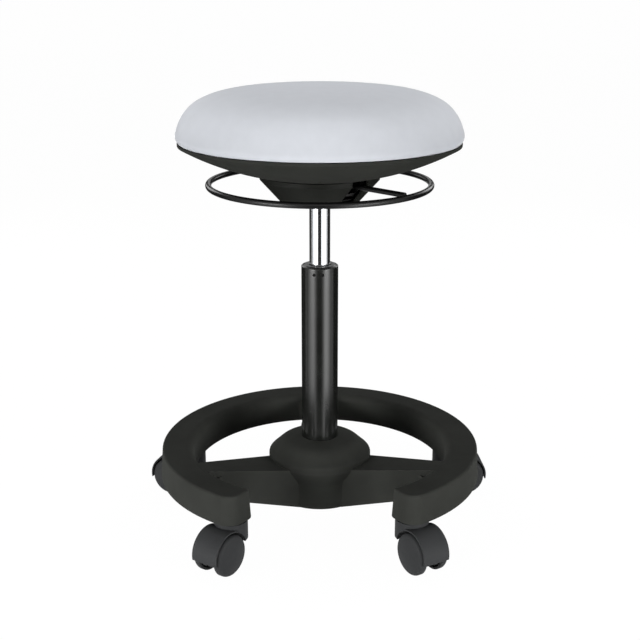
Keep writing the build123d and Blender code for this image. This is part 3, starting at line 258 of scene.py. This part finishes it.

# %% [markdown]
# ## Dimples under the column's rim
# A row of punched dimples holds the plastic bush in the column. The CAD mesh stays as it came and only
# the materials of its faces are set: those that lie a little inside the tube's surface, at the height
# of the dimples, get a second enamel. Its near-black colour is painted shade in these small recesses,
# and its higher roughness makes them duller.

# %% Painted shade in the dimples
DIMPLE_DROP = 0.0085
DIMPLE_REACH = 0.0033
DIMPLE_DEPTHS = (0.00005, 0.0011)
# Near-black colour: painted shade in the dimples, on a rougher, duller enamel.
dimple_painted_shade = enamelled_steel(
    "painted_shade_in_dimples", "#060606", rough=0.6, peel_mm=2.0, relief=0.05, gloss=0.1
)
column_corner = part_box("column_tube")[1]
column_mesh = nodes["column_tube"].data
column_mesh.materials.append(dimple_painted_shade)
dimple_faces = [
    face
    for face in column_mesh.polygons
    if abs(face.center.z - (column_corner.z - DIMPLE_DROP)) < DIMPLE_REACH
    and DIMPLE_DEPTHS[0] < column_corner.x - face.center.xy.length < DIMPLE_DEPTHS[1]
]
for face in dimple_faces:
    face.material_index = 1
print("faces in the dimples:", len(dimple_faces))

# %% [markdown]
# ## Bare metals
# The chrome of the pressure tube is ground and polished round its axis, so its faint marks run round
# the tube: a noise that is stretched along the tube's girth and squeezed along its length varies the
# gloss. Zinc-plated screws and the ground steel inside the column are duller.

# %% Chrome, zinc plate and ground steel
MARK_LENGTH_MM = 25.0


def turned_metal(name, colour, rough, spread, mark_mm):
    material, tree, shader, place = start_material(name)
    along, across = MM_PER_M / MARK_LENGTH_MM, MM_PER_M / mark_mm
    shrink = add_node(tree, "ShaderNodeMapping", {"Scale": (along, along, across)}, {"Vector": place})
    marks = add_node(
        tree,
        "ShaderNodeTexNoise",
        {"Scale": 1.0, "Detail": 4.0},
        {"Vector": shrink.outputs["Vector"]},
    )
    polish = add_node(
        tree,
        "ShaderNodeMapRange",
        {"From Min": NOISE_LOW, "From Max": NOISE_HIGH, "To Min": rough, "To Max": rough + spread},
        {"Value": marks.outputs["Fac"]},
    )
    tree.links.new(polish.outputs["Result"], shader.inputs["Roughness"])
    shader.inputs["Base Color"].default_value = linear(colour)
    shader.inputs["Metallic"].default_value = 1.0
    return material


chrome = turned_metal("polished_chrome", "#e4e6e9", rough=0.09, spread=0.06, mark_mm=0.8)
zinc = turned_metal("zinc_plate", "#c2c5c9", rough=0.26, spread=0.14, mark_mm=0.6)
ground_steel = turned_metal("ground_steel", "#b4b6b9", rough=0.2, spread=0.12, mark_mm=0.5)
dress(chrome, "pressure_tube")
dress(zinc, "shell_screws", "cup_screws", "tee_nuts", "pan_bolts")
dress(ground_steel, "castor_stems", "stem_grip_rings", "column_foot_plate", "bearing_lower_race")
dress(ground_steel, "bearing_balls", "bearing_upper_race", "retaining_clip", "piston_rod", "piston")
dress(ground_steel, "rod_gland", "valve_body", "valve_pin", "release_pivot_pin")
dress(ground_steel, *[f"{name}_castor_axle" for name in CASTORS])
print("metals made:", chrome.name, zinc.name, ground_steel.name)

# %% [markdown]
# ## What the pad hides
# Birch plywood shows its plies as light and dark stripes on the cut edge, 1.5 mm each, so a wave along
# the height colours it. The foam is a pale open-cell polyurethane. Both sit inside the upholstery but
# are finished all the same, so that the stool can be taken apart.

# %% Plywood board and foam
PLY_PAIR_MM = 3.0
CELL_MM = 1.43
plywood, tree, shader, place = start_material("birch_plywood")
plies = add_node(
    tree,
    "ShaderNodeTexWave",
    {"bands_direction": "Z", "Scale": WAVE_SCALE / PLY_PAIR_MM, "Distortion": 0.4, "Detail": 1.0},
    {"Vector": place},
)
ply_tint = add_node(tree, "ShaderNodeValToRGB", links={"Fac": plies.outputs["Fac"]})
ply_tint.color_ramp.elements[0].color = linear("#b98f5c")
ply_tint.color_ramp.elements[1].color = linear("#d9bd8f")
tree.links.new(ply_tint.outputs["Color"], shader.inputs["Base Color"])
shader.inputs["Roughness"].default_value = 0.7
dress(plywood, "seat_board")

foam, tree, shader, place = start_material("polyurethane_foam")
cells = add_node(tree, "ShaderNodeTexVoronoi", {"Scale": MM_PER_M / CELL_MM}, {"Vector": place})
foam_bump = add_node(
    tree, "ShaderNodeBump", {"Strength": 0.5, "Distance": 0.0004}, {"Height": cells.outputs["Distance"]}
)
foam_tint = add_node(tree, "ShaderNodeValToRGB", links={"Fac": cells.outputs["Distance"]})
foam_tint.color_ramp.elements[0].color = linear("#d8cfae")
foam_tint.color_ramp.elements[1].color = linear("#e9e2c6")
tree.links.new(foam_tint.outputs["Color"], shader.inputs["Base Color"])
tree.links.new(foam_bump.outputs["Normal"], shader.inputs["Normal"])
shader.inputs["Roughness"].default_value = 0.9
dress(foam, "seat_foam")
print("hidden materials made:", plywood.name, foam.name)

# %% [markdown]
# ## The upholstered pad
# The pad is a light grey cover drawn tight over moulded foam and tucked under at the seam. Its outline
# runs from the recess for the seat board round the tucked edge, up the drawn-in side and over the
# crown. A cylinder could be sculpted into it, but an outline keeps the true profile: the few points
# that fix the crown are joined by a smooth curve, and the whole outline is spun round the axis.

# %% Spin the pad's outline
BOARD_GAP = 0.0006
BOARD_HEADROOM = 0.0022
RECESS_RINGS = (0.0, 0.06, 0.12)
TUCK = 0.0008
CURVE_STEPS = 4
SPIN_STEPS = 120
MERGE_DISTANCE = 0.00005
board_low, board_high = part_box("seat_board")
seam = board_low.z
recess_radius = board_high.x + BOARD_GAP
recess_top = board_high.z + BOARD_HEADROOM
# Radius and height over the seam of the points that fix the crown.
CROWN_POINTS = [
    (0.1850, -0.0012),
    (0.1876, 0.0034),
    (0.1879, 0.0090),
    (0.1850, 0.0190),
    (0.1801, 0.0294),
    (0.1728, 0.0393),
    (0.1607, 0.0492),
    (0.1370, 0.0589),
    (0.1050, 0.0643),
    (0.0600, 0.0670),
    (0.0100, 0.0680),
]


def smooth_between(points, steps):
    """Points on a Catmull-Rom curve through the given ones."""
    ends = [points[0], *points, points[-1]]
    made = []
    for span in zip(ends, ends[1:], ends[2:], ends[3:]):
        for k in range(steps):
            t = k / steps
            pulls = (
                -t + 2 * t**2 - t**3,
                2 - 5 * t**2 + 3 * t**3,
                t + 4 * t**2 - 3 * t**3,
                -(t**2) + t**3,
            )
            made.append(tuple(sum(p * c for p, c in zip(pulls, axis)) / 2 for axis in zip(*span)))
    return [*made, points[-1]]


crown = [(radius, seam + rise) for radius, rise in CROWN_POINTS]
recess = [(radius, recess_top) for radius in (*RECESS_RINGS, recess_radius)]
recess.append((recess_radius, seam - TUCK))
outline = [*recess, *smooth_between(crown, CURVE_STEPS), (0.0, crown[-1][1])]
outline_points = [(radius, 0.0, height) for radius, height in outline]
outline_edges = [(k, k + 1) for k in range(len(outline) - 1)]
outline_mesh = bpy.data.meshes.new("seat_pad")
outline_mesh.from_pydata(outline_points, outline_edges, [])
pad = bpy.data.objects.new("seat_pad", outline_mesh)
bpy.context.scene.collection.objects.link(pad)
bpy.context.view_layer.objects.active = pad
pad.select_set(True)
bpy.ops.object.mode_set(mode="EDIT")
bpy.ops.mesh.select_all(action="SELECT")
bpy.ops.mesh.spin(steps=SPIN_STEPS, angle=2 * math.pi, center=(0, 0, 0), axis=(0, 0, 1))
bpy.ops.mesh.select_all(action="SELECT")
bpy.ops.mesh.remove_doubles(threshold=MERGE_DISTANCE)
bpy.ops.mesh.normals_make_consistent(inside=False)
bpy.ops.object.mode_set(mode="OBJECT")
print("pad outline spun:", len(pad.data.vertices), "points")

# %% [markdown]
# ## Foam under the cover
# Foam presses the cover outwards between the places where it is stapled. A short cloth simulation
# with a little air pressure does the same: the tucked seam and the recess round the board are pinned,
# and the rest swells. How far a point may move is capped, so the pad keeps its true size. A
# subdivision then smooths the facets of the spin.

# %% Swell the cover over its foam
SWELL_CAP = 0.0012
PIN_MARGIN = 0.003
PIN_REACH = 0.004
CLOTH_FRAMES = 12


def is_pinned(point):
    tucked = point.z < seam + PIN_MARGIN
    round_board = point.z < board_high.z + PIN_MARGIN and point.xy.length < board_high.x + PIN_REACH
    return tucked or round_board


start_points = [v.co.copy() for v in pad.data.vertices]
seam_pins = pad.vertex_groups.new(name="seam_pins")
seam_pins.add([v.index for v in pad.data.vertices if is_pinned(v.co)], 1.0, "REPLACE")
cloth = pad.modifiers.new("cover", "CLOTH")
cloth.settings.quality = 5
cloth.settings.mass = 0.3
cloth.settings.vertex_group_mass = "seam_pins"
cloth.settings.use_pressure = True
cloth.settings.uniform_pressure_force = 1.0
cloth.settings.effector_weights.gravity = 0.0
for frame_number in range(1, CLOTH_FRAMES + 1):
    bpy.context.scene.frame_set(frame_number)
bpy.ops.object.modifier_apply(modifier="cover")
moved = []
for vertex, start in zip(pad.data.vertices, start_points):
    move = vertex.co - start
    moved.append(move.length)
    if move.length > SWELL_CAP:
        vertex.co = start + move * (SWELL_CAP / move.length)
bpy.context.scene.frame_set(1)
print("furthest swell before the cap, mm:", round(MM_PER_M * max(moved), 2))
finer = pad.modifiers.new("finer", "SUBSURF")
finer.levels = finer.render_levels = 1
bpy.ops.object.modifier_apply(modifier="finer")
bpy.ops.object.shade_smooth()
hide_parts("seat_cover", "seat_foam")
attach(pad, "seat")
pad.select_set(False)
print("pad finished:", len(pad.data.polygons), "faces")

# %% [markdown]
# ## The seat cover's cloth
# The cover is a fine plain-weave polyester in light cool grey. Two waves at right angles give the
# threads over and under each other. The real threads are about 0.5 mm apart and are drawn 1.2 mm apart
# so that the weave shows from near by. A picture of cloth would blur when seen closer, which a pattern
# of waves does not. A slow noise tints it slightly, and a little sheen gives the soft edge that cloth
# has against the light.

# %% Woven cover
THREAD_MM = 1.2
SLUB_MM = 16.67
cover, tree, shader, place = start_material("plain_weave_polyester")
threads = {}
for direction in ("X", "Y"):
    threads[direction] = add_node(
        tree,
        "ShaderNodeTexWave",
        {"bands_direction": direction, "Scale": WAVE_SCALE / THREAD_MM, "Distortion": 0.6, "Detail": 1.0},
        {"Vector": place},
    ).outputs["Fac"]
weave = add_node(tree, "ShaderNodeMath", {"operation": "MULTIPLY"}, {0: threads["X"], 1: threads["Y"]})
slub = add_node(
    tree, "ShaderNodeTexNoise", {"Scale": MM_PER_M / SLUB_MM, "Detail": 4.0}, {"Vector": place}
)
tint = add_node(tree, "ShaderNodeValToRGB", links={"Fac": slub.outputs["Fac"]})
tint.color_ramp.elements[0].position = NOISE_LOW
tint.color_ramp.elements[0].color = linear("#cacdd3")
tint.color_ramp.elements[1].position = NOISE_HIGH
tint.color_ramp.elements[1].color = linear("#cdd0d6")
relief = add_node(
    tree, "ShaderNodeBump", {"Strength": 0.07, "Distance": 0.0003}, {"Height": weave.outputs["Value"]}
)
tree.links.new(tint.outputs["Color"], shader.inputs["Base Color"])
tree.links.new(relief.outputs["Normal"], shader.inputs["Normal"])
shader.inputs["Roughness"].default_value = 0.85
shader.inputs["Specular IOR Level"].default_value = 0.2
shader.inputs["Sheen Weight"].default_value = 0.1
shader.inputs["Sheen Roughness"].default_value = 0.5
pad.data.materials.clear()
pad.data.materials.append(cover)
dress(cover, "seat_cover")
print("cover dressed:", cover.name)

# %% [markdown]
# ## The white studio
# The stool stands on white paper in a white room. So that this white does not light the stool more
# than the lamps do, only the rays that come straight from the camera, from a mirror or through glass
# see it at full strength. All other rays meet a plain grey floor and a dim room. A small share of the
# floor is still shaded paint to the camera, which keeps the stool's faint shadow.

# %% Floor and white room
FLOOR_SIZE = 60.0
PAPER_GLOW = 1.06
PAPER_SHARE = 0.93
DIM_ROOM = 0.06
WHITE = (1.0, 1.0, 1.0, 1.0)


def white_to_the_camera(tree):
    path = add_node(tree, "ShaderNodeLightPath")
    seen = add_node(
        tree,
        "ShaderNodeMath",
        {"operation": "ADD"},
        {0: path.outputs["Is Camera Ray"], 1: path.outputs["Is Glossy Ray"]},
    )
    return add_node(
        tree,
        "ShaderNodeMath",
        {"operation": "ADD", "use_clamp": True},
        {0: seen.outputs["Value"], 1: path.outputs["Is Transmission Ray"]},
    ).outputs["Value"]


bpy.ops.mesh.primitive_plane_add(size=FLOOR_SIZE, location=(0.0, 0.0, 0.0))
floor = bpy.context.active_object
floor.name = "studio_floor"
floor_paint, tree, shader, _ = start_material("studio_floor_paint")
shader.inputs["Base Color"].default_value = linear("#b4b4b4")
shader.inputs["Roughness"].default_value = 0.9
shader.inputs["Specular IOR Level"].default_value = 0.1
glow = add_node(tree, "ShaderNodeEmission", {"Color": WHITE, "Strength": PAPER_GLOW})
share = add_node(
    tree, "ShaderNodeMath", {"operation": "MULTIPLY", 1: PAPER_SHARE}, {0: white_to_the_camera(tree)}
)
mixed = add_node(
    tree,
    "ShaderNodeMixShader",
    links={0: share.outputs["Value"], 1: shader.outputs["BSDF"], 2: glow.outputs["Emission"]},
)
tree.links.new(mixed.outputs["Shader"], tree.nodes["Material Output"].inputs["Surface"])
floor.data.materials.append(floor_paint)
floor.select_set(False)

room = bpy.data.worlds.new("white_room")
bpy.context.scene.world = room
room.use_nodes = True
sky = room.node_tree.nodes["Background"]
strength = add_node(
    room.node_tree,
    "ShaderNodeMapRange",
    {"From Min": 0.0, "From Max": 1.0, "To Min": DIM_ROOM, "To Max": 1.0},
    {"Value": white_to_the_camera(room.node_tree)},
)
sky.inputs["Color"].default_value = WHITE
room.node_tree.links.new(strength.outputs["Result"], sky.inputs["Strength"])
bpy.context.scene.view_settings.view_transform = "Standard"
print("room made:", room.name, "and", floor.name)

# %% [markdown]
# ## The lamps
# In the photograph the upright faces of the base are lighter than its top, so the main light comes
# from low down: two wide soft boxes stand in front, left and right of the camera, the left one a
# little stronger. A weak fill low in front reaches the hub, and mirrors don't see it, so that it draws
# no line on the chrome. Two weaker boxes behind the stool lift the rim of the ring, and a small lamp
# over the seat lights its crown, while the seat itself shades the base from it.

# %% Soft boxes
def soft_box(name, place, aim_height, width, height, watts, mirrored=True):
    data = bpy.data.lights.new(name, "AREA")
    data.shape = "RECTANGLE"
    data.size = width
    data.size_y = height
    data.energy = watts
    lamp = bpy.data.objects.new(name, data)
    aim = Vector((0.0, 0.0, aim_height))
    lamp.location = place
    lamp.rotation_euler = (aim - Vector(place)).to_track_quat("-Z", "Y").to_euler()
    lamp.visible_glossy = mirrored
    bpy.context.scene.collection.objects.link(lamp)


soft_box("left_box", (-1.7, -1.6, 0.36), aim_height=0.3, width=1.1, height=0.7, watts=38)
soft_box("right_box", (1.7, -1.6, 0.36), aim_height=0.3, width=1.1, height=0.7, watts=33)
soft_box("front_fill", (0, -2.2, 0.2), aim_height=0.1, width=0.6, height=0.36, watts=4, mirrored=False)
soft_box("rear_left_box", (-1.3, 1.6, 1.1), aim_height=0.4, width=0.9, height=0.9, watts=9)
soft_box("rear_right_box", (1.3, 1.6, 1.1), aim_height=0.4, width=0.9, height=0.9, watts=9)
soft_box("seat_lamp", (0, -0.05, 1.5), aim_height=0.5, width=0.2, height=0.2, watts=5.6)
print("lamps:", len(bpy.data.lights))

# %% [markdown]
# ## Cards on the floor
# Seen from above, an upright tube mirrors the floor round the stool. Photographers lay cards there to
# draw lines on shiny metal: black ones in front of the camera and behind the stool, and white ones to
# the left and right that shine on the tube, brightest in the middle and fading to their edges. Only
# reflections see them, so they don't light the stool. The two cards behind it also stand up at their
# far edge, so that the chrome keeps dark lines when it is seen from lower down. Each card is a fan
# round the stool, given by three bearings in degrees, counted from the front to the right.

# %% Cards for the reflections
CARD_STEPS = 16
CARD_NEAR, CARD_FAR = 0.3, 9.0
CARD_LIFT, CARD_TOP = 0.002, 4.0


def floor_card(name, start, peak, end, brightness, upright=False):
    rows = [(CARD_NEAR, CARD_LIFT), (CARD_FAR, CARD_LIFT)]
    if upright:
        rows.append((CARD_FAR, CARD_TOP))
    bearings = [start + (end - start) * k / CARD_STEPS for k in range(CARD_STEPS + 1)]
    rise = [(t - start) / (peak - start) if t < peak else (end - t) / (end - peak) for t in bearings]
    turns = [math.radians(t) for t in bearings]
    rim = [(reach * math.sin(t), -reach * math.cos(t), height) for reach, height in rows for t in turns]
    across = CARD_STEPS + 1
    corners = [row * across + k for row in range(len(rows) - 1) for k in range(CARD_STEPS)]
    card_mesh = bpy.data.meshes.new(name)
    card_mesh.from_pydata(rim, [], [(k, k + across, k + across + 1, k + 1) for k in corners])
    shine = card_mesh.attributes.new("shine", "FLOAT", "POINT")
    shine.data.foreach_set("value", [brightness * r for r in rise] * len(rows))
    paint, tree, shader, _ = start_material(name)
    shade = add_node(tree, "ShaderNodeAttribute", {"attribute_name": "shine"})
    tree.links.new(shade.outputs["Fac"], shader.inputs["Emission Strength"])
    shader.inputs["Base Color"].default_value = linear("#080808")
    shader.inputs["Roughness"].default_value = 1.0
    shader.inputs["Specular IOR Level"].default_value = 0.0
    shader.inputs["Emission Color"].default_value = WHITE
    card_mesh.materials.append(paint)
    card = bpy.data.objects.new(name, card_mesh)
    bpy.context.scene.collection.objects.link(card)
    card.visible_camera = False
    card.visible_diffuse = False
    card.visible_shadow = False
    return card


cards = [
    floor_card("front_black_card", start=-19, peak=0, end=12, brightness=0.03),
    floor_card("left_white_card", start=-90, peak=-43, end=-19, brightness=3.8),
    floor_card("right_white_card", start=12, peak=38, end=74, brightness=5.0),
    floor_card("right_black_card", start=90, peak=130, end=172, brightness=0.04, upright=True),
    floor_card("left_black_card", start=-172, peak=-130, end=-100, brightness=0.06, upright=True),
]
print("cards:", len(cards))
